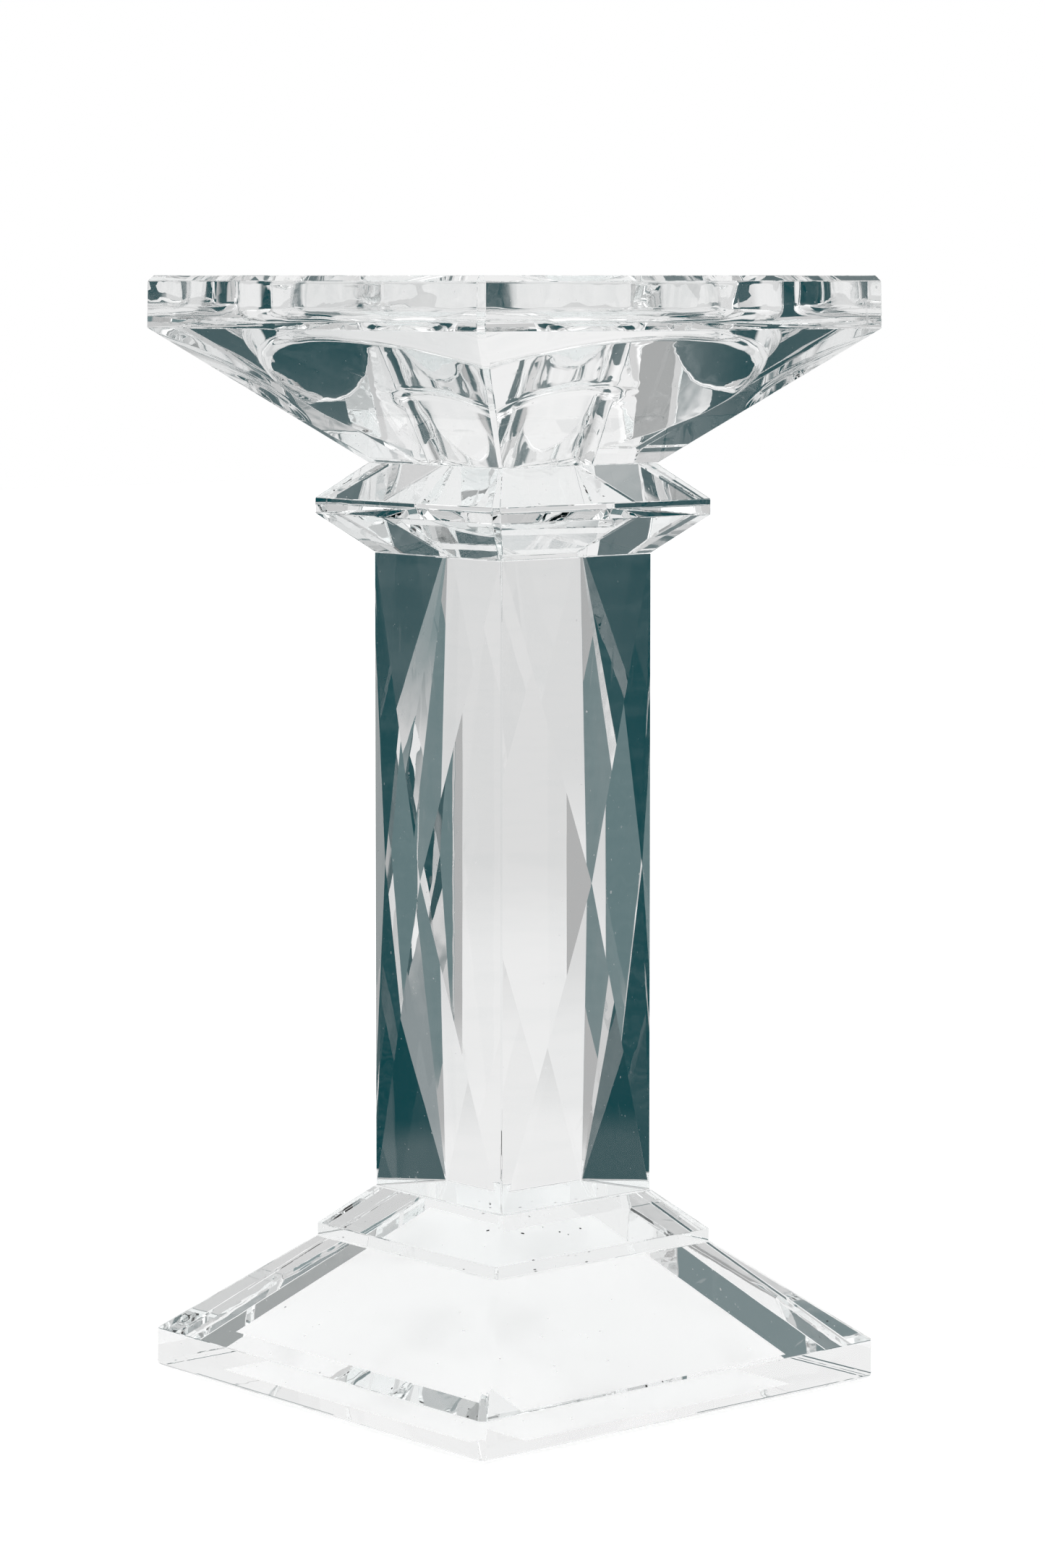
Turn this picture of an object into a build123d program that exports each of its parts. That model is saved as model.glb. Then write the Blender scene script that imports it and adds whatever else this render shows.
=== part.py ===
"""Square crystal candlestick, 204 mm tall: five cut and polished glass blocks, bonded end to end.

From the table up: a thin white pad stuck under the glass, a plinth, a step, a long column whose four faces
are cut to shallow points, a knop with a square girdle, and a dish with a round recess for a pillar candle
and a socket for a taper candle. A clear adhesive film joins each block to the next, so the object has ten
pieces and nothing moves.

Frame: millimetres, +Z up, the origin on the table under the middle of the pad. The sides of every block
face along X and Y. Each piece is drawn at its real height above the table.
"""

import os

from build123d import *

# Driving dimensions, in millimetres. A side is the width of a square block across its flats.
film = 0.1  # thickness of each adhesive film
film_setback = 0.8  # how far each film stops short of the edge of the smaller face it joins

pad_length = 71.0  # along X
pad_width = 64.0  # along Y
pad_thickness = 0.8
pad_corner = 0.5

plinth_side = 95.2
plinth_girdle = 7.0  # height of the upright band at the foot
plinth_top_side = 52.6
plinth_height = 25.0

step_side = 52.0
step_girdle = 2.2
step_top_side = 37.0
step_height = 9.3

column_side = 36.2
column_height = 118.0
column_point = 4.0  # how far the middle of each face stands out from the plane of its edges

knop_foot_side = 36.4
knop_low_slope = 7.1  # height of the slopes under the girdle
knop_side = 52.5
knop_girdle = 2.9
knop_high_slope = 6.5
knop_head_side = 37.8

dish_foot_side = 38.2
dish_side = 96.5  # at the foot of the girdle
dish_rim_side = 96.2
dish_slope = 24.6  # height of the sloping part
dish_girdle = 9.6

recess_radius = 42.0  # for a pillar candle up to 80 mm across
recess_depth = 8.4
recess_fillet = 2.5  # between the recess's wall and floor
lip_width = 1.4  # of the slope that eases the recess's upper edge
lip_height = 1.0
lip_fillet = 1.6  # between that slope and the wall
socket_radius = 11.4  # for a taper candle of 22 mm
socket_floor = 3.6  # glass left under the socket, above the foot of the dish
socket_fillet = 2.0
mouth_fillet = 2.2  # where the socket opens into the recess

large_flat = 1.05  # cut off each corner of the plinth, the knop and the dish, along each side
small_flat = 0.45  # cut off the corners of the step and of the smaller ends
column_flat = 0.25  # cut off the four long edges of the column
edge_flat = 0.5  # chamfer of the horizontal outer edges
rim_flat = 1.0  # chamfer round the top and the foot of the dish's girdle

# Heights above the table, worked out from the pieces below.
z_plinth = pad_thickness
z_plinth_shoulder = z_plinth + plinth_girdle
z_plinth_head = z_plinth + plinth_height
z_step = z_plinth_head + film
z_column = z_step + step_height + film
z_knop = z_column + column_height + film
knop_height = knop_low_slope + knop_girdle + knop_high_slope
z_dish = z_knop + knop_height + film
dish_height = dish_slope + dish_girdle
z_rim = z_dish + dish_height
z_recess = z_rim - recess_depth
z_socket = z_dish + socket_floor


def add_corner_cut_square(side, flat):
    """Draws a square in the open sketch, with each corner cut off straight."""
    Rectangle(side, side)
    chamfer(vertices(), length=flat)


def edges_at(block, height):
    """The edges of a block that lie level, at one height."""
    return block.edges().filter_by_position(Axis.Z, height, height)


def square_frustum(low_side, low_flat, low_height, high_side, high_flat, high_height):
    """Adds straight slopes to the open part, from one corner-cut square up to another."""
    with BuildSketch(Plane.XY.offset(low_height)) as low:
        add_corner_cut_square(low_side, low_flat)
    with BuildSketch(Plane.XY.offset(high_height)) as high:
        add_corner_cut_square(high_side, high_flat)
    loft(sections=[low.sketch, high.sketch], ruled=True)


# Foot pad: a thin white sheet stuck to the underside of the plinth, well inside its edge.
with BuildPart() as foot_pad:
    with BuildSketch(Plane.XY):
        RectangleRounded(pad_length, pad_width, radius=pad_corner)
    extrude(amount=pad_thickness)
foot_pad.part.label = "foot_pad"

# Plinth: an upright girdle, then four slopes up to a small square top.
with BuildPart() as plinth:
    with BuildSketch(Plane.XY.offset(z_plinth)):
        add_corner_cut_square(plinth_side, large_flat)
    extrude(amount=plinth_girdle)
    square_frustum(
        plinth_side, large_flat, z_plinth_shoulder, plinth_top_side, large_flat, z_plinth_head
    )
    chamfer(edges_at(plinth, z_plinth), length=edge_flat)
plinth.part.label = "plinth"

# Step: a smaller block of the same form, with a thin girdle.
z_step_shoulder = z_step + step_girdle
z_step_head = z_step + step_height
with BuildPart() as step:
    with BuildSketch(Plane.XY.offset(z_step)):
        add_corner_cut_square(step_side, small_flat)
    extrude(amount=step_girdle)
    square_frustum(step_side, small_flat, z_step_shoulder, step_top_side, small_flat, z_step_head)
step.part.label = "step"

# Column: square at both ends. Each face is cut to four facets that rise to a point at mid height, so the
# plan is an octagon there, and each side view widens from both ends to the middle.
half_side = column_side / 2
half_point = half_side + column_point
half_height = column_height / 2
z_middle = z_column + half_height
plan_points = [
    (half_side, half_side),
    (0, half_point),
    (-half_side, half_side),
    (-half_point, 0),
    (-half_side, -half_side),
    (0, -half_point),
    (half_side, -half_side),
    (half_point, 0),
]
profile_points = [
    (half_side, z_column),
    (half_point, z_middle),
    (half_side, z_column + column_height),
    (-half_side, z_column + column_height),
    (-half_point, z_middle),
    (-half_side, z_column),
]
with BuildPart() as column:
    with BuildSketch(Plane.XY.offset(z_column)):
        Polygon(*plan_points, align=None)
    extrude(amount=column_height)
    for side_plane in (Plane.XZ, Plane.YZ):
        with BuildSketch(side_plane):
            Polygon(*profile_points, align=None)
        extrude(amount=2 * half_point, both=True, mode=Mode.INTERSECT)
    chamfer(column.edges().filter_by(Axis.Z), length=column_flat)
column.part.label = "column"

# Knop: two flat pyramids, cut off square, with a narrow upright girdle between them.
z_knop_shoulder = z_knop + knop_low_slope
z_knop_upper_shoulder = z_knop_shoulder + knop_girdle
z_knop_head = z_knop + knop_height
with BuildPart() as knop:
    square_frustum(knop_foot_side, small_flat, z_knop, knop_side, large_flat, z_knop_shoulder)
    with BuildSketch(Plane.XY.offset(z_knop_shoulder)):
        add_corner_cut_square(knop_side, large_flat)
    extrude(amount=knop_girdle)
    square_frustum(knop_side, large_flat, z_knop_upper_shoulder, knop_head_side, small_flat, z_knop_head)
knop.part.label = "knop"

# Dish: slopes out to a tall girdle with a little draft. The recess, the socket and their rounded corners
# are one profile, turned about the middle axis.
z_dish_shoulder = z_dish + dish_slope
with BuildPart() as dish:
    square_frustum(dish_foot_side, small_flat, z_dish, dish_side, large_flat, z_dish_shoulder)
    square_frustum(dish_side, large_flat, z_dish_shoulder, dish_rim_side, large_flat, z_rim)
    chamfer(edges_at(dish, z_rim), length=rim_flat)
    with BuildSketch(Plane.XZ):
        with BuildLine():
            FilletPolyline(
                (0, z_socket),
                (socket_radius, z_socket),
                (socket_radius, z_recess),
                (recess_radius, z_recess),
                (recess_radius, z_rim - lip_height),
                (recess_radius + 2 * lip_width, z_rim + lip_height),
                radius=[socket_fillet, mouth_fillet, recess_fillet, lip_fillet],
            )
            Polyline(
                (recess_radius + 2 * lip_width, z_rim + lip_height),
                (0, z_rim + lip_height),
                (0, z_socket),
            )
        make_face()
    revolve(axis=Axis.Z, mode=Mode.SUBTRACT)
dish.part.label = "dish"


def bond_film(side, height, name):
    """The clear adhesive film between two blocks: a thin square plate."""
    with BuildPart() as bond:
        with BuildSketch(Plane.XY.offset(height)):
            add_corner_cut_square(side - 2 * film_setback, small_flat)
        extrude(amount=film)
    bond.part.label = name
    return bond


bonds = [
    bond_film(step_side, z_plinth_head, "plinth_bond"),
    bond_film(column_side, z_step_head, "step_bond"),
    bond_film(column_side, z_column + column_height, "column_bond"),
    bond_film(knop_head_side, z_knop_head, "knop_bond"),
]

os.makedirs("parts", exist_ok=True)
for piece in [foot_pad, plinth, step, column, knop, dish, *bonds]:
    export_step(piece.part, f"parts/{piece.part.label}.step")
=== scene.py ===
"""Square crystal candlestick: five cut and polished blocks of clear glass, bonded end to end.

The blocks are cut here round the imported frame, at the frame's own sizes, so that the hollow of the dish is
smooth and every edge carries the fine arris that catches the light. A thin white pad is stuck under the
lowest block. Lengths are in metres, +Z is up and the origin is on the table under the middle of the pad.
"""

import math

import bmesh
import bpy
from bpy.props import FloatProperty, FloatVectorProperty, IntProperty, PointerProperty
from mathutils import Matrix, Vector


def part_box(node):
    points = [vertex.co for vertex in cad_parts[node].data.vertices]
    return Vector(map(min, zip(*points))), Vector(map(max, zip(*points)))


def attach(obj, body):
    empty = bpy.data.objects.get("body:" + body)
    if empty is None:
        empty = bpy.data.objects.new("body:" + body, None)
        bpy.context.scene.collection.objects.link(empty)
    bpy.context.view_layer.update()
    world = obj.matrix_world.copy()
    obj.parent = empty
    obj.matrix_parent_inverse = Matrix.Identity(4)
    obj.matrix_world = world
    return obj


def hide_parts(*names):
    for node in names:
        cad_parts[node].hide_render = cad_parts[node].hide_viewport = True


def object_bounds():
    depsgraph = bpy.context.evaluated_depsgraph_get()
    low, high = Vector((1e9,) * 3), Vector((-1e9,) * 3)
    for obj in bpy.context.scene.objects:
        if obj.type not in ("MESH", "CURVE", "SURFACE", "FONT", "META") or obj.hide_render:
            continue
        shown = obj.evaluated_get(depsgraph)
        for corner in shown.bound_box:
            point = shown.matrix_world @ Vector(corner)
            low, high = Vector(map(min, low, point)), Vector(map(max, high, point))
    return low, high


bl_info = {
    "name": "Crystal Candlestick",
    "version": (1, 0, 0),
    "blender": (4, 5, 0),
    "location": "3D View > Sidebar > Candlestick",
    "description": "Cuts, bonds and lights a square crystal candlestick",
    "category": "Add Mesh",
}

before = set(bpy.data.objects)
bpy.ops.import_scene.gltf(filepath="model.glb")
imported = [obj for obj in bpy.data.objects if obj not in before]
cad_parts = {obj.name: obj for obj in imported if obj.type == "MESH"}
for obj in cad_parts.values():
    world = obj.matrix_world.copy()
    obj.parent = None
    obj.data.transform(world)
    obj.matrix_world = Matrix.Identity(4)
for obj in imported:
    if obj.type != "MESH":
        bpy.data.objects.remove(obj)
cad_box = [list(corner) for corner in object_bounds()]

BODY = "root"
MM = 0.001
LEVEL = 1e-5  # how far two heights may differ and still count as the same
ADHESIVE_GAP = 0.01 * MM  # between the pad's face and the glass, so that the two faces don't coincide

# Marks on the polished glass.
POLISH_SCALE = 70.0  # waves of the polishing ripple in a metre
POLISH_HEIGHT = 0.03 * MM
SCRATCH_SIZE = (110 * MM, 6 * MM, 1.4 * MM)  # length, breadth and depth of the pattern that they are cut from
SCRATCH_TURNS = ((0.5, 1.4, 0.2), (1.9, 1.1, 1.1))  # the two ways they run, in radians about X, Y and Z
SCRATCH_PATCH_SCALE = 55.0
SCRATCH_ROUGHNESS = 0.12
FINE_DUST = (2.6 * MM, 0.17 * MM)  # spacing and size
COARSE_DUST = (7 * MM, 0.32 * MM)
DUST_ROUGHNESS = 0.35

# Air bubbles left in the joints.
BUBBLE_SPACING = 2.2 * MM
BUBBLE_SIZE = 0.35 * MM
BUBBLE_PATCH_SCALE = 120.0

FLOOR_SIDE = 6.0

# The view: across one corner of the candlestick, from the height of its rim.
VIEW_AZIMUTH = math.radians(49.5)
VIEW_DISTANCE = 0.8435
VIEW_TURN = math.radians(0.125)  # to the right of the middle axis
VIEW_TILT = math.radians(3.991)  # below level
VIEW_SHIFT = -0.12
SENSOR_WIDTH = 36  # in millimetres, as the lens is
LENS = 105.48


# The cards of the studio are what the glass shows of the room. Each row holds a middle bearing, half angle
# and softness in degrees, then a start, end and softness of the height above the horizon in degrees, and a
# colour. A later card lies over an earlier one.
def wall_cards(finish):
    """Cards that stand round the table, far away."""
    dark = tuple(finish.table_colour)
    return (
        (0, 180, 0.1, 58, None, 12, (1.5, 1.5, 1.5)),  # light overhead
        (0, 60, 14, None, 62, 8, (0.90, 0.90, 0.90)),  # bright backdrop
        (-81, 9, 4, 14, 24, 2, (0.12, 0.18, 0.19)),  # stand on the left
        (-81, 11, 4, 28, 60, 4, (0.31, 0.32, 0.32)),  # shade on the left
        (-81, 10, 4, None, 8, 1.5, (0.01, 0.06, 0.07)),  # low cabinet on the left
        (-78, 32, 6, None, 0, 0.5, dark),  # far part of the table on the left
        (-156, 10, 4, None, 4, 1, (0.24, 0.28, 0.29)),  # low cabinet behind the view
        (99, 14, 4, None, 5, 1, dark),  # raised edge of the table on the right
        (-174, 9, 4, 4, 16, 3, (0.09, 0.10, 0.10)),  # the camera itself
        (99, 9, 4, 21, 36, 3, (0.28, 0.30, 0.30)),  # rail on the right
        (99, 30, 10, 60, None, 8, (0.40, 0.41, 0.41)),  # dark ceiling on the right
    )


def table_cards(finish):
    """Cards that lie on the table, in the same terms, with distances in metres in place of heights."""
    dark = tuple(finish.table_colour)
    return (
        (180, 122, 12, 0.34, None, 0.09, (0.46, 0.46, 0.46)),  # paper in its own shade
        (0, 50, 10, 0.65, None, 0.15, (0.74, 0.74, 0.74)),  # far end of the paper, darker: painted shade
        (180, 24, 6, 0.40, None, 0.06, (0.15, 0.22, 0.23)),  # table in front
        (-72, 34, 5, 0.185, None, 0.015, dark),  # table on the left
        (75, 34, 5, 0.19, None, 0.015, dark),  # table on the right
    )


def length(name, description, default_mm):
    """A length that a user may change, given in millimetres."""
    return FloatProperty(
        name=name, description=description, default=default_mm * MM, min=0, precision=5, unit="LENGTH"
    )


class CandlestickSizes(bpy.types.PropertyGroup):
    """Sizes that the frame's boxes don't give."""

    plinth_girdle: length("Plinth Girdle", "Height of the upright band at the foot", 7.0)
    plinth_head: length("Plinth Head", "Side of the square on top of the plinth", 52.6)
    step_girdle: length("Step Girdle", "Height of the upright band of the step", 2.2)
    step_head: length("Step Head", "Side of the square on top of the step", 37.0)
    column_side: length("Column Side", "Side of the column at its ends", 36.2)
    knop_foot: length("Knop Foot", "Side of the square under the knop", 36.4)
    knop_slope: length("Knop Slope", "Height of the slopes under the girdle", 7.1)
    knop_girdle: length("Knop Girdle", "Height of the upright band of the knop", 2.9)
    knop_head: length("Knop Head", "Side of the square on top of the knop", 37.8)
    dish_foot: length("Dish Foot", "Side of the square under the dish", 38.2)
    dish_girdle: length("Dish Girdle", "Height of the upright band of the dish", 9.6)
    dish_rim: length("Dish Rim", "Side of the dish at its rim", 96.2)
    rim_chamfer: length("Rim Chamfer", "Chamfer round the top of the dish", 1.0)
    recess_radius: length("Recess Radius", "Radius of the round recess", 42.0)
    recess_depth: length("Recess Depth", "Depth of the recess below the rim", 8.4)
    recess_fillet: length("Recess Fillet", "Rounding between the recess's wall and floor", 2.5)
    recess_lip: length("Recess Lip", "Rounding of the recess's upper edge", 1.6)
    socket_radius: length("Socket Radius", "Radius of the taper socket", 11.4)
    socket_floor: length("Socket Floor", "Glass under the socket", 3.6)
    socket_fillet: length("Socket Fillet", "Rounding at the bottom of the socket", 2.0)
    mouth_fillet: length("Mouth Fillet", "Rounding where the socket opens into the recess", 2.2)
    wave_height: length("Wave Height", "Unevenness of the pressed hollow", 0.5)
    wave_length: length("Wave Length", "Spacing of that unevenness", 6.5)
    foot_chamfer: length("Foot Chamfer", "Chamfer under the plinth", 0.5)
    pad_corner: length("Pad Corner", "Rounding of the pad's corners", 0.5)
    large_flat: length("Large Flat", "Corner cut of the plinth, knop and dish", 1.05)
    small_flat: length("Small Flat", "Corner cut of the step and the smaller ends", 0.45)
    column_flat: length("Column Flat", "Corner cut of the column", 0.25)
    arris: length("Arris", "Fine bevel polished along every edge", 0.12)


class CandlestickFinish(bpy.types.PropertyGroup):
    """Colours and strengths of the glass and of the studio."""

    glass_tint: FloatVectorProperty(
        name="Glass Tint",
        description="Colour of the clear glass",
        default=(0.99, 0.992, 0.991),
        subtype="COLOR",
        min=0,
        max=1,
    )
    glass_ior: FloatProperty(
        name="Glass IOR", description="Index of refraction of the glass", default=1.52, min=1, max=2
    )
    table_colour: FloatVectorProperty(
        name="Table Colour",
        description="Colour of the dark table beyond the paper",
        default=(0.003, 0.054, 0.064),
        subtype="COLOR",
        min=0,
        max=1,
    )
    paper_colour: FloatVectorProperty(
        name="Paper Colour",
        description="Colour of the white paper under the candlestick",
        default=(0.88, 0.88, 0.88),
        subtype="COLOR",
        min=0,
        max=1,
    )
    wall_colour: FloatVectorProperty(
        name="Wall Colour",
        description="Colour of the walls of the studio",
        default=(0.61, 0.61, 0.61),
        subtype="COLOR",
        min=0,
        max=1,
    )
    segments: IntProperty(
        name="Segments", description="Steps round the recess", default=160, min=32, max=512
    )


# ---------------------------------------------------------------- working in edit mode


def start_editing(piece):
    """Makes one piece the only selected one and opens it in edit mode."""
    bpy.ops.object.select_all(action="DESELECT")
    piece.select_set(True)
    bpy.context.view_layer.objects.active = piece
    bpy.ops.object.mode_set(mode="EDIT")


def stop_editing():
    bpy.ops.object.mode_set(mode="OBJECT")


def choose(piece, mode, test):
    """Selects the open piece's faces, edges or corners that pass a test, and nothing else."""
    bpy.ops.mesh.select_mode(type=mode)
    bpy.ops.mesh.select_all(action="DESELECT")
    mesh = bmesh.from_edit_mesh(piece.data)
    parts = {"FACE": mesh.faces, "EDGE": mesh.edges, "VERT": mesh.verts}[mode]
    for part in parts:
        if test(part):
            part.select_set(True)
    mesh.select_flush_mode()
    bmesh.update_edit_mesh(piece.data)


def level_face(height, facing):
    """A test for level faces at one height that look up (1) or down (-1)."""
    return lambda face: (
        abs(face.calc_center_median().z - height) < LEVEL and face.normal.z * facing > 0.999
    )


def fit_ring(piece, height, side, flat):
    """Stretches the ring of eight corners at one height to a square with its corners cut."""
    half = side / 2
    near = half - flat
    for axis, other in ((0, 1), (1, 0)):
        choose(
            piece,
            "VERT",
            lambda corner: abs(corner.co.z - height) < LEVEL and abs(corner.co[axis]) > abs(corner.co[other]),
        )
        corner = next(v for v in bmesh.from_edit_mesh(piece.data).verts if v.select)
        stretch = [1, 1, 1]
        stretch[axis] = half / abs(corner.co[axis])
        stretch[other] = near / abs(corner.co[other])
        bpy.ops.transform.resize(value=stretch, center_override=(0, 0, height))


def cut_block(name, levels):
    """Cuts a square block through a list of levels: height, side and corner cut of each."""
    foot_height, foot_side, foot_flat = levels[0]
    bpy.ops.object.select_all(action="DESELECT")
    bpy.ops.mesh.primitive_plane_add(size=foot_side, location=(0, 0, foot_height))
    piece = bpy.context.object
    piece.name = name
    bpy.ops.object.transform_apply(location=True, rotation=True, scale=True)
    start_editing(piece)
    bpy.ops.mesh.select_all(action="SELECT")
    bpy.ops.mesh.bevel(offset=foot_flat, offset_type="OFFSET", affect="VERTICES")
    fit_ring(piece, foot_height, foot_side, foot_flat)
    below = foot_height
    for height, side, flat in levels[1:]:
        choose(piece, "FACE", lambda face: abs(face.calc_center_median().z - below) < LEVEL)
        bpy.ops.mesh.extrude_region_move(TRANSFORM_OT_translate={"value": (0, 0, height - below)})
        fit_ring(piece, height, side, flat)
        below = height
    bpy.ops.mesh.select_all(action="SELECT")
    bpy.ops.mesh.normals_make_consistent(inside=False)
    stop_editing()
    return piece


def chamfer_level(piece, height, amount):
    """Chamfers the outer edges that lie at one height."""
    start_editing(piece)
    choose(piece, "EDGE", lambda edge: all(abs(corner.co.z - height) < LEVEL for corner in edge.verts))
    bpy.ops.mesh.bevel(offset=amount, offset_type="OFFSET", affect="EDGES")
    stop_editing()


def apply_modifier(piece, kind, **settings):
    """Adds a modifier, sets it and applies it."""
    bpy.ops.object.select_all(action="DESELECT")
    piece.select_set(True)
    bpy.context.view_layer.objects.active = piece
    modifier = piece.modifiers.new(kind.title(), kind)
    for name, value in settings.items():
        setattr(modifier, name, value)
    bpy.ops.object.modifier_apply(modifier=modifier.name)


def polish_edges(piece, arris):
    """Takes the fine arris off every real edge."""
    apply_modifier(
        piece, "BEVEL", width=arris, segments=2, limit_method="ANGLE", angle_limit=math.radians(15)
    )


def wet_joint(piece, height, facing, node):
    """Gives the part of a level face that a node's adhesive wets its own finish."""
    low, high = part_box(node)
    level = level_face(height, facing)
    start_editing(piece)
    for axis in (0, 1):
        across = Vector((axis == 0, axis == 1, 0))
        for place in (low[axis], high[axis]):
            choose(piece, "FACE", level)
            bpy.ops.mesh.bisect(plane_co=across * place, plane_no=across)

    def wetted(face):
        middle = face.calc_center_median()
        return level(face) and low.x < middle.x < high.x and low.y < middle.y < high.y

    choose(piece, "FACE", wetted)
    piece.active_material_index = 1
    bpy.ops.object.material_slot_assign()
    stop_editing()


# ---------------------------------------------------------------- materials


def add_node(tree, kind, values=None, **settings):
    """Adds a node, with its settings and with values or links for its inputs."""
    node = tree.nodes.new(kind)
    for name, value in settings.items():
        setattr(node, name, value)
    for key, value in (values or {}).items():
        if isinstance(value, bpy.types.NodeSocket):
            tree.links.new(value, node.inputs[key])
        else:
            node.inputs[key].default_value = value
    return node


def empty_material(name):
    """A material with only its output node."""
    material = bpy.data.materials.new(name)
    material.use_nodes = True
    material.node_tree.nodes.clear()
    output = add_node(material.node_tree, "ShaderNodeOutputMaterial")
    return material, material.node_tree, output


def math_node(tree, operation, *values):
    """The result of one sum."""
    return add_node(tree, "ShaderNodeMath", dict(enumerate(values)), operation=operation).outputs[0]


def ramp(tree, value, zero, one):
    """Rises or falls smoothly from 0 at one value to 1 at another."""
    node = add_node(
        tree,
        "ShaderNodeMapRange",
        {"Value": value, "From Min": zero, "From Max": one},
        interpolation_type="SMOOTHSTEP",
    )
    return node.outputs["Result"]


def blend(tree, share, below, above):
    """Lays one colour over another."""
    node = add_node(tree, "ShaderNodeMix", {0: share, 6: below, 7: above}, data_type="RGBA")
    return node.outputs[2]


def specks(tree, place, spacing, size):
    """Small round marks, one in some of the cells of a grid."""
    cells = add_node(tree, "ShaderNodeTexVoronoi", {"Vector": place, "Scale": 1 / spacing})
    pick = add_node(tree, "ShaderNodeSeparateColor", {0: cells.outputs["Color"]})
    reach = math_node(tree, "MULTIPLY", pick.outputs[0], size / spacing)
    return math_node(tree, "LESS_THAN", cells.outputs["Distance"], reach)


def noise(tree, place, scale, detail):
    """Smooth noise, with so many waves in a metre."""
    values = {"Vector": place, "Scale": scale, "Detail": detail}
    return add_node(tree, "ShaderNodeTexNoise", values).outputs[0]


def hairlines(tree, place, turn):
    """Long thin scratches that come and go, all in about one direction."""
    stretched = add_node(
        tree,
        "ShaderNodeMapping",
        {"Vector": place, "Rotation": turn, "Scale": SCRATCH_SIZE},
        vector_type="TEXTURE",
    )
    line = ramp(tree, noise(tree, stretched.outputs[0], 1.0, 1.0), 0.70, 0.74)
    patch = ramp(tree, noise(tree, place, SCRATCH_PATCH_SCALE, 1.0), 0.5, 0.62)
    return math_node(tree, "MULTIPLY", line, patch)


def cut_crystal(finish):
    """Clear glass, ground flat and polished, with faint polishing marks, hairlines and dust."""
    material, tree, output = empty_material("cut_crystal")
    place = add_node(tree, "ShaderNodeTexCoord").outputs["Object"]
    dust = math_node(
        tree, "MAXIMUM", specks(tree, place, *FINE_DUST), specks(tree, place, *COARSE_DUST)
    )
    scratch = math_node(tree, "MAXIMUM", *[hairlines(tree, place, turn) for turn in SCRATCH_TURNS])
    rough = math_node(
        tree,
        "MAXIMUM",
        math_node(tree, "MULTIPLY", dust, DUST_ROUGHNESS),
        math_node(tree, "MULTIPLY", scratch, SCRATCH_ROUGHNESS),
    )
    polish = noise(tree, place, POLISH_SCALE, 2.0)
    ripple = add_node(tree, "ShaderNodeBump", {"Height": polish, "Distance": POLISH_HEIGHT})
    shader = add_node(
        tree,
        "ShaderNodeBsdfPrincipled",
        {
            "Base Color": (*finish.glass_tint, 1),
            "Roughness": rough,
            "IOR": finish.glass_ior,
            "Transmission Weight": 1.0,
            "Normal": ripple.outputs[0],
        },
    )
    tree.links.new(shader.outputs[0], output.inputs["Surface"])
    return material


def bubbles(tree):
    """Tiny air bubbles left in a joint, the same all through its thickness."""
    place = add_node(tree, "ShaderNodeTexCoord").outputs["Object"]
    level = add_node(tree, "ShaderNodeVectorMath", {0: place, 1: (1, 1, 0)}, operation="MULTIPLY").outputs[0]
    patch = ramp(tree, noise(tree, level, BUBBLE_PATCH_SCALE, 2.0), 0.52, 0.6)
    return math_node(tree, "MULTIPLY", patch, specks(tree, level, BUBBLE_SPACING, BUBBLE_SIZE))


def wetted_joint(name, clarity, finish):
    """Adhesive of the glass's own index: light goes straight on, except at the bubbles."""
    material, tree, output = empty_material(name)
    clear = add_node(tree, "ShaderNodeBsdfTransparent", {"Color": clarity})
    air = add_node(
        tree,
        "ShaderNodeBsdfPrincipled",
        {
            "Base Color": (*finish.glass_tint, 1),
            "Roughness": 0.1,
            "IOR": finish.glass_ior,
            "Transmission Weight": 1.0,
        },
    )
    mixed = add_node(tree, "ShaderNodeMixShader", {0: bubbles(tree), 1: clear.outputs[0], 2: air.outputs[0]})
    tree.links.new(mixed.outputs[0], output.inputs["Surface"])
    return material


def bonded_face(finish):
    """The part of a block's face that the adhesive wets."""
    return wetted_joint("bonded_face", (0.99, 0.992, 0.992, 1), finish)


def found_material(name, make, *values):
    """The material of that name, made the first time it is asked for."""
    return bpy.data.materials.get(name) or make(*values)


def finish_block(piece, node, finish):
    """Gives a cut block its glass and its place in the frame."""
    piece.data.materials.append(found_material("cut_crystal", cut_crystal, finish))
    piece.data.materials.append(found_material("bonded_face", bonded_face, finish))
    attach(piece, BODY)
    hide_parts(node)


# ---------------------------------------------------------------- pieces


def white_sheet():
    """White plastic sheet with a fine matte grain, a little grey where the adhesive is thin; it glows with
    painted light.
    """
    material, tree, output = empty_material("white_sheet")
    place = add_node(tree, "ShaderNodeTexCoord").outputs["Object"]
    thin = ramp(tree, noise(tree, place, 34.0, 2.0), 0.52, 0.72)
    colour = blend(tree, thin, (0.95, 0.95, 0.95, 1), (0.88, 0.88, 0.88, 1))
    grain = noise(tree, place, 2400.0, 2.0)
    tooth = add_node(tree, "ShaderNodeBump", {"Height": grain, "Distance": 0.02 * MM})
    shader = add_node(
        tree,
        "ShaderNodeBsdfPrincipled",
        {
            "Base Color": colour,
            "Roughness": 0.85,
            "Specular IOR Level": 0.1,
            "Normal": tooth.outputs[0],
            # Painted light: the sheet glows in its own colour, so it looks brighter than the light reaching
            # it makes it.
            "Emission Color": colour,
            "Emission Strength": 0.48,
        },
    )
    tree.links.new(shader.outputs[0], output.inputs["Surface"])
    return material


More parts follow.
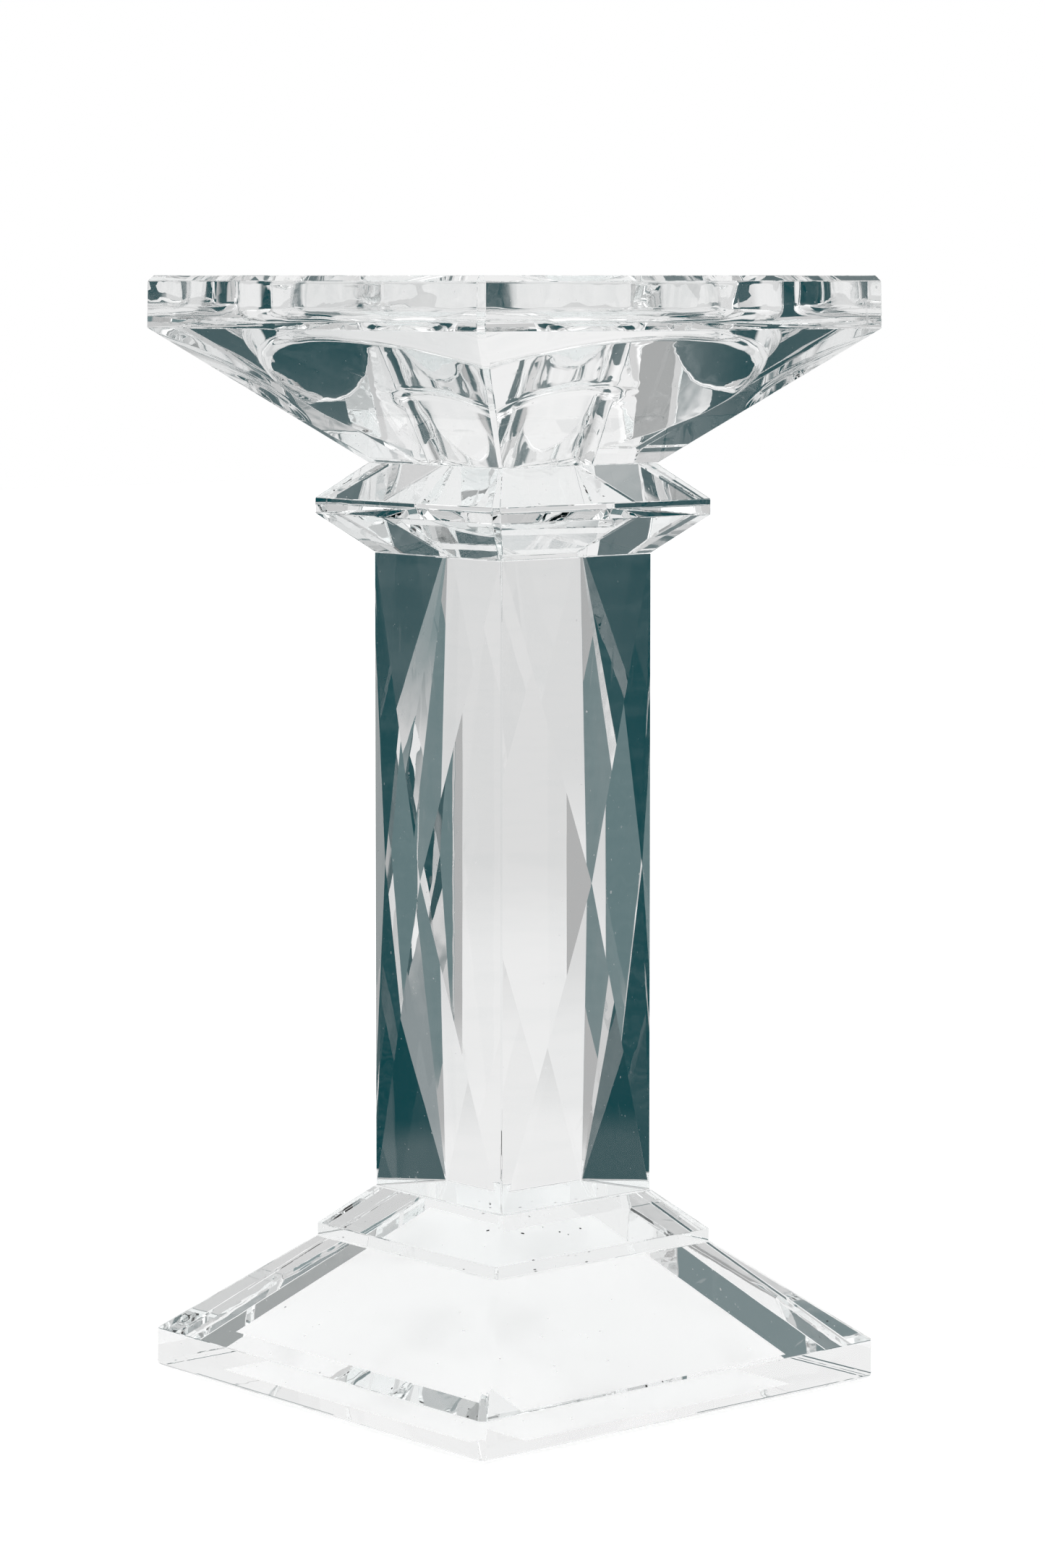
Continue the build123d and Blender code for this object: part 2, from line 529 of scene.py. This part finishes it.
class CANDLESTICK_OT_foot_pad(bpy.types.Operator):
    """Stick the thin white pad under the plinth"""

    bl_idname = "candlestick.foot_pad"
    bl_label = "Stick Foot Pad"

    def execute(self, context):
        sizes = context.scene.candlestick_sizes
        low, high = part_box("foot_pad")
        bpy.ops.object.select_all(action="DESELECT")
        bpy.ops.mesh.primitive_plane_add(size=1, location=(0, 0, low.z))
        pad = bpy.context.object
        pad.name = "pad_foot"
        pad.scale = (high.x - low.x, high.y - low.y, 1)
        bpy.ops.object.transform_apply(location=True, rotation=True, scale=True)
        start_editing(pad)
        bpy.ops.mesh.select_all(action="SELECT")
        bpy.ops.mesh.bevel(offset=sizes.pad_corner, segments=6, affect="VERTICES")
        thickness = high.z - low.z - ADHESIVE_GAP
        bpy.ops.mesh.select_all(action="SELECT")
        bpy.ops.mesh.extrude_region_move(TRANSFORM_OT_translate={"value": (0, 0, thickness)})
        bpy.ops.mesh.select_all(action="SELECT")
        bpy.ops.mesh.normals_make_consistent(inside=False)
        stop_editing()
        polish_edges(pad, sizes.arris)
        pad.data.materials.append(white_sheet())
        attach(pad, BODY)
        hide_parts("foot_pad")
        return {"FINISHED"}


class CANDLESTICK_OT_plinth(bpy.types.Operator):
    """Cut the square plinth that the candlestick stands on"""

    bl_idname = "candlestick.plinth"
    bl_label = "Cut Plinth"

    def execute(self, context):
        sizes = context.scene.candlestick_sizes
        low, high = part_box("plinth")
        side = high.x - low.x
        flat = sizes.large_flat
        plinth = cut_block(
            "crystal_plinth",
            [
                (low.z, side, flat),
                (low.z + sizes.plinth_girdle, side, flat),
                (high.z, sizes.plinth_head, flat),
            ],
        )
        chamfer_level(plinth, low.z, sizes.foot_chamfer)
        polish_edges(plinth, sizes.arris)
        finish_block(plinth, "plinth", context.scene.candlestick_finish)
        wet_joint(plinth, low.z, -1, "foot_pad")
        wet_joint(plinth, high.z, 1, "plinth_bond")
        return {"FINISHED"}


class CANDLESTICK_OT_step(bpy.types.Operator):
    """Cut the small step between the plinth and the column"""

    bl_idname = "candlestick.step"
    bl_label = "Cut Step"

    def execute(self, context):
        sizes = context.scene.candlestick_sizes
        low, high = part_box("step")
        side = high.x - low.x
        flat = sizes.small_flat
        step = cut_block(
            "crystal_step",
            [
                (low.z, side, flat),
                (low.z + sizes.step_girdle, side, flat),
                (high.z, sizes.step_head, flat),
            ],
        )
        polish_edges(step, sizes.arris)
        finish_block(step, "step", context.scene.candlestick_finish)
        wet_joint(step, low.z, -1, "plinth_bond")
        wet_joint(step, high.z, 1, "step_bond")
        return {"FINISHED"}


class CANDLESTICK_OT_column(bpy.types.Operator):
    """Cut the column, whose four faces rise to shallow points"""

    bl_idname = "candlestick.column"
    bl_label = "Cut Column"

    def execute(self, context):
        sizes = context.scene.candlestick_sizes
        low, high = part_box("column")
        side = sizes.column_side
        point = (high.x - low.x - side) / 2
        column = cut_block(
            "crystal_column", [(low.z, side, sizes.column_flat), (high.z, side, sizes.column_flat)]
        )
        start_editing(column)
        choose(column, "FACE", lambda face: max(abs(face.normal.x), abs(face.normal.y)) > 0.999)
        bpy.ops.mesh.poke(offset=point)
        stop_editing()
        polish_edges(column, sizes.arris)
        finish_block(column, "column", context.scene.candlestick_finish)
        wet_joint(column, low.z, -1, "step_bond")
        wet_joint(column, high.z, 1, "column_bond")
        return {"FINISHED"}


class CANDLESTICK_OT_knop(bpy.types.Operator):
    """Cut the knop between the column and the dish"""

    bl_idname = "candlestick.knop"
    bl_label = "Cut Knop"

    def execute(self, context):
        sizes = context.scene.candlestick_sizes
        low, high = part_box("knop")
        side = high.x - low.x
        shoulder = low.z + sizes.knop_slope
        knop = cut_block(
            "crystal_knop",
            [
                (low.z, sizes.knop_foot, sizes.small_flat),
                (shoulder, side, sizes.large_flat),
                (shoulder + sizes.knop_girdle, side, sizes.large_flat),
                (high.z, sizes.knop_head, sizes.small_flat),
            ],
        )
        polish_edges(knop, sizes.arris)
        finish_block(knop, "knop", context.scene.candlestick_finish)
        wet_joint(knop, low.z, -1, "column_bond")
        wet_joint(knop, high.z, 1, "knop_bond")
        return {"FINISHED"}


def rounded(corner, radius, start_angle, end_angle, steps=10):
    """Points on a quarter circle, turned from one angle to another round its middle."""
    points = []
    for step in range(steps + 1):
        angle = math.radians(start_angle + (end_angle - start_angle) * step / steps)
        points.append((corner[0] + radius * math.cos(angle), corner[1] + radius * math.sin(angle)))
    return points


def straight(start, end, spacing):
    """Points along a straight run between two others, no further apart than a spacing."""
    start, end = Vector(start), Vector(end)
    steps = max(1, math.ceil((end - start).length / spacing))
    return [tuple(start.lerp(end, step / steps)) for step in range(steps + 1)]


def hollow_outline(sizes, foot, rim):
    """The outline of the dish's hollow, as radius and height, from its bottom to above the rim."""
    socket_z = foot + sizes.socket_floor
    recess_z = rim - sizes.recess_depth
    lip = sizes.recess_lip
    hold = 0.3 * MM  # a narrow ring beside each rounding keeps the flat beyond it truly flat
    ring = 2 * MM
    low_corner = (sizes.socket_radius - sizes.socket_fillet, socket_z + sizes.socket_fillet)
    mouth_corner = (sizes.socket_radius + sizes.mouth_fillet, recess_z - sizes.mouth_fillet)
    high_corner = (sizes.recess_radius - sizes.recess_fillet, recess_z + sizes.recess_fillet)
    outline = [(low_corner[0] - hold, socket_z)]
    outline += rounded(low_corner, sizes.socket_fillet, -90, 0)
    outline += straight(
        (sizes.socket_radius, low_corner[1] + hold), (sizes.socket_radius, mouth_corner[1] - hold), ring
    )
    outline += rounded(mouth_corner, sizes.mouth_fillet, 180, 90)
    outline += straight((mouth_corner[0] + hold, recess_z), (high_corner[0] - hold, recess_z), ring)
    outline += rounded(high_corner, sizes.recess_fillet, -90, 0)
    outline += straight(
        (sizes.recess_radius, high_corner[1] + hold), (sizes.recess_radius, rim - lip - hold), ring
    )
    outline += rounded((sizes.recess_radius + lip, rim - lip), lip, 180, 90)
    outline += [(sizes.recess_radius + lip, rim + 2 * MM)]
    return outline


def turn_hollow(outline, segments):
    """The solid that the dish's hollow is cut with: a disc, drawn up ring by ring."""
    radius, height = outline[0]
    bpy.ops.object.select_all(action="DESELECT")
    bpy.ops.mesh.primitive_circle_add(
        vertices=segments, radius=radius, fill_type="NGON", location=(0, 0, height)
    )
    hollow = bpy.context.object
    bpy.ops.object.transform_apply(location=True, rotation=True, scale=True)
    start_editing(hollow)
    for next_radius, next_height in outline[1:]:
        bpy.ops.mesh.extrude_region_move(TRANSFORM_OT_translate={"value": (0, 0, next_height - height)})
        spread = next_radius / radius
        bpy.ops.transform.resize(value=(spread, spread, 1), center_override=(0, 0, next_height))
        radius, height = next_radius, next_height
    bpy.ops.mesh.select_all(action="SELECT")
    bpy.ops.mesh.normals_make_consistent(inside=False)
    choose(hollow, "FACE", lambda face: len(face.verts) == 4)
    bpy.ops.mesh.faces_shade_smooth()
    stop_editing()
    return hollow


def fade(value, start, end):
    """Rises evenly from 0 at the start to 1 at the end."""
    return min(1, max(0, (value - start) / (end - start)))


def press_waves(hollow, sizes, rim):
    """Makes the hollow uneven, as a pressed surface is, except at its rim and across its flat floors."""
    group = hollow.vertex_groups.new(name="pressed")
    start_editing(hollow)
    mesh = bmesh.from_edit_mesh(hollow.data)
    weights = mesh.verts.layers.deform.verify()
    floor_edge = sizes.recess_radius - sizes.recess_fillet
    mouth_edge = sizes.socket_radius + sizes.mouth_fillet
    reach = 3 * MM  # how far the unevenness runs out over the recess's floor
    for corner in mesh.verts:
        radius = corner.co.xy.length
        below_rim = fade(rim - corner.co.z, sizes.recess_lip, 2 * sizes.recess_lip)
        near_wall = fade(radius, floor_edge - reach, floor_edge + 1 * MM)
        near_mouth = fade(-radius, -mouth_edge - reach, -mouth_edge)
        corner[weights][group.index] = below_rim * max(near_wall, near_mouth)
    bmesh.update_edit_mesh(hollow.data)
    stop_editing()
    waves = bpy.data.textures.new("pressed_waves", "CLOUDS")
    waves.noise_scale = sizes.wave_length
    waves.noise_depth = 1
    apply_modifier(
        hollow,
        "DISPLACE",
        texture=waves,
        texture_coords="LOCAL",
        strength=sizes.wave_height,
        mid_level=0.5,
        vertex_group=group.name,
    )


class CANDLESTICK_OT_dish(bpy.types.Operator):
    """Cut the dish, with its round recess and its socket"""

    bl_idname = "candlestick.dish"
    bl_label = "Cut Dish"

    def execute(self, context):
        sizes = context.scene.candlestick_sizes
        finish = context.scene.candlestick_finish
        low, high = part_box("dish")
        shoulder = high.z - sizes.dish_girdle
        dish = cut_block(
            "crystal_dish",
            [
                (low.z, sizes.dish_foot, sizes.small_flat),
                (shoulder, high.x - low.x, sizes.large_flat),
                (high.z, sizes.dish_rim, sizes.large_flat),
            ],
        )
        chamfer_level(dish, high.z, sizes.rim_chamfer)
        polish_edges(dish, sizes.arris)
        hollow = turn_hollow(hollow_outline(sizes, low.z, high.z), finish.segments)
        press_waves(hollow, sizes, high.z)
        apply_modifier(dish, "BOOLEAN", object=hollow, operation="DIFFERENCE", solver="EXACT")
        bpy.data.objects.remove(hollow)
        finish_block(dish, "dish", finish)
        wet_joint(dish, low.z, -1, "knop_bond")
        return {"FINISHED"}


def clear_adhesive(finish):
    """The cured film itself, as clear as the glass beside it."""
    return wetted_joint("clear_adhesive", (0.99, 0.995, 0.995, 1), finish)


class CANDLESTICK_OT_bonds(bpy.types.Operator):
    """Lay the clear adhesive film in each of the four joints"""

    bl_idname = "candlestick.bonds"
    bl_label = "Lay Bonds"

    def execute(self, context):
        sizes = context.scene.candlestick_sizes
        for node in ("plinth_bond", "step_bond", "column_bond", "knop_bond"):
            low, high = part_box(node)
            side = high.x - low.x
            film = cut_block(
                "film_" + node, [(low.z, side, sizes.small_flat), (high.z, side, sizes.small_flat)]
            )
            film.data.materials.append(
                found_material("clear_adhesive", clear_adhesive, context.scene.candlestick_finish)
            )
            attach(film, BODY)
            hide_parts(node)
        return {"FINISHED"}


# ---------------------------------------------------------------- studio


def side_of_view():
    """The level direction to the right of the view."""
    return Vector((math.cos(VIEW_AZIMUTH), math.sin(VIEW_AZIMUTH), 0))


def bearing_of(tree, vector):
    """The bearing of a vector, in degrees clockwise from straight ahead of the view."""
    side = side_of_view()
    across = add_node(tree, "ShaderNodeVectorMath", {0: vector, 1: side}, operation="DOT_PRODUCT")
    ahead = add_node(
        tree, "ShaderNodeVectorMath", {0: vector, 1: (-side.y, side.x, 0)}, operation="DOT_PRODUCT"
    )
    bearing = math_node(tree, "ARCTAN2", across.outputs["Value"], ahead.outputs["Value"])
    return math_node(tree, "DEGREES", bearing)


def lay_cards(tree, bearing, span, ground, cards):
    """Lays soft-edged cards over a ground colour, each in a range of bearings and of height or distance."""
    colour = ground
    for middle, half, edge, start, end, fringe, tone in cards:
        off_middle = math_node(tree, "WRAP", math_node(tree, "SUBTRACT", bearing, middle), 180, -180)
        share = ramp(tree, math_node(tree, "ABSOLUTE", off_middle), half + edge, half - edge)
        if start is not None:
            share = math_node(tree, "MULTIPLY", share, ramp(tree, span, start - fringe, start + fringe))
        if end is not None:
            share = math_node(tree, "MULTIPLY", share, ramp(tree, span, end + fringe, end - fringe))
        colour = blend(tree, share, colour, (*tone, 1))
    return colour


def show_paper(tree, output, paper, room):
    """What the camera sees is plain paper; what the glass sees is the room."""
    seen = add_node(tree, "ShaderNodeLightPath").outputs["Is Camera Ray"]
    mixed = add_node(tree, "ShaderNodeMixShader", {0: seen, 1: room, 2: paper})
    tree.links.new(mixed.outputs[0], output.inputs["Surface"])


def light_studio(finish):
    """A bright room: a pale backdrop ahead, light overhead, and a few dark things at the sides."""
    world = bpy.data.worlds.new("studio")
    bpy.context.scene.world = world
    world.use_nodes = True
    tree = world.node_tree
    tree.nodes.clear()
    output = add_node(tree, "ShaderNodeOutputWorld")
    direction = add_node(tree, "ShaderNodeTexCoord").outputs["Generated"]
    height = add_node(tree, "ShaderNodeSeparateXYZ", {0: direction}).outputs["Z"]
    height = math_node(tree, "DEGREES", math_node(tree, "ARCSINE", height))
    colour = lay_cards(
        tree, bearing_of(tree, direction), height, (*finish.wall_colour, 1), wall_cards(finish)
    )
    room = add_node(tree, "ShaderNodeBackground", {"Color": colour})
    paper = add_node(tree, "ShaderNodeBackground", {"Color": (1, 1, 1, 1)})
    show_paper(tree, output, paper.outputs[0], room.outputs[0])


def lay_floor(finish):
    """A plain pale floor: white paper on a dark table. What the glass sees of it glows with painted light and
    painted shade.
    """
    bpy.ops.object.select_all(action="DESELECT")
    bpy.ops.mesh.primitive_plane_add(size=FLOOR_SIDE, location=(0, 0, 0))
    floor = bpy.context.object
    floor.name = "floor"
    material, tree, output = empty_material("pale_floor")
    place = add_node(tree, "ShaderNodeTexCoord").outputs["Object"]
    distance = add_node(tree, "ShaderNodeVectorMath", {0: place}, operation="LENGTH").outputs["Value"]
    colour = lay_cards(
        tree, bearing_of(tree, place), distance, (*finish.paper_colour, 1), table_cards(finish)
    )
    worn = math_node(tree, "MULTIPLY", ramp(tree, noise(tree, place, 35.0, 3.0), 0.42, 0.72), 0.05)
    colour = blend(tree, worn, colour, (0.42, 0.50, 0.51, 1))
    # What the glass sees of the floor is an emitted colour: painted light on the paper and table, painted
    # shade where the cards darken the paper.
    room = add_node(tree, "ShaderNodeEmission", {"Color": colour})
    grain = noise(tree, place, 900.0, 3.0)
    fibre = add_node(tree, "ShaderNodeBump", {"Height": grain, "Distance": 0.02 * MM})
    paper = add_node(
        tree,
        "ShaderNodeBsdfPrincipled",
        {
            "Base Color": (0.9, 0.9, 0.9, 1),
            "Roughness": 0.95,
            "Specular IOR Level": 0.0,
            "Normal": fibre.outputs[0],
            "Emission Color": (1, 1, 1, 1),
            "Emission Strength": 0.55,
        },
    )
    show_paper(tree, output, paper.outputs[0], room.outputs[0])
    floor.data.materials.append(material)


def place_camera():
    """A long lens across one corner of the candlestick, looking a little down."""
    bpy.ops.object.camera_add()
    camera = bpy.context.object
    camera.name = "camera"
    across = side_of_view()
    ahead = Vector((-across.y, across.x, 0))
    rim = cad_box[1][2]
    camera.location = -ahead * VIEW_DISTANCE + Vector((0, 0, rim))
    level = ahead * math.cos(VIEW_TURN) + across * math.sin(VIEW_TURN)
    gaze = level * math.cos(VIEW_TILT) - Vector((0, 0, math.sin(VIEW_TILT)))
    camera.rotation_euler = gaze.to_track_quat("-Z", "Y").to_euler()
    camera.data.sensor_width = SENSOR_WIDTH
    camera.data.lens = LENS
    camera.data.shift_y = VIEW_SHIFT
    bpy.context.scene.camera = camera


class CANDLESTICK_OT_stage(bpy.types.Operator):
    """Set the floor, the light and the camera"""

    bl_idname = "candlestick.stage"
    bl_label = "Set Stage"

    def execute(self, context):
        scene = context.scene
        scene.view_settings.view_transform = "Standard"
        scene.cycles.max_bounces = 32
        scene.cycles.transmission_bounces = 32
        scene.cycles.glossy_bounces = 16
        scene.cycles.transparent_max_bounces = 32
        light_studio(scene.candlestick_finish)
        lay_floor(scene.candlestick_finish)
        place_camera()
        return {"FINISHED"}


class CANDLESTICK_PT_panel(bpy.types.Panel):
    """The candlestick's steps, in the order they are made"""

    bl_idname = "CANDLESTICK_PT_panel"
    bl_label = "Crystal Candlestick"
    bl_space_type = "VIEW_3D"
    bl_region_type = "UI"
    bl_category = "Candlestick"

    def draw(self, context):
        for operator in OPERATORS:
            self.layout.operator(operator.bl_idname)
        for group in (context.scene.candlestick_sizes, context.scene.candlestick_finish):
            column = self.layout.column()
            for name in group.__annotations__:
                column.prop(group, name)


OPERATORS = (
    CANDLESTICK_OT_foot_pad,
    CANDLESTICK_OT_plinth,
    CANDLESTICK_OT_step,
    CANDLESTICK_OT_column,
    CANDLESTICK_OT_knop,
    CANDLESTICK_OT_dish,
    CANDLESTICK_OT_bonds,
    CANDLESTICK_OT_stage,
)
CLASSES = (CandlestickSizes, CandlestickFinish, *OPERATORS, CANDLESTICK_PT_panel)


def register():
    for cls in CLASSES:
        bpy.utils.register_class(cls)
    bpy.types.Scene.candlestick_sizes = PointerProperty(type=CandlestickSizes)
    bpy.types.Scene.candlestick_finish = PointerProperty(type=CandlestickFinish)


def unregister():
    del bpy.types.Scene.candlestick_finish
    del bpy.types.Scene.candlestick_sizes
    for cls in reversed(CLASSES):
        bpy.utils.unregister_class(cls)


def main():
    register()
    bpy.ops.candlestick.foot_pad()
    bpy.ops.candlestick.plinth()
    bpy.ops.candlestick.step()
    bpy.ops.candlestick.column()
    bpy.ops.candlestick.knop()
    bpy.ops.candlestick.dish()
    bpy.ops.candlestick.bonds()
    bpy.ops.candlestick.stage()


if __name__ == "__main__":
    main()
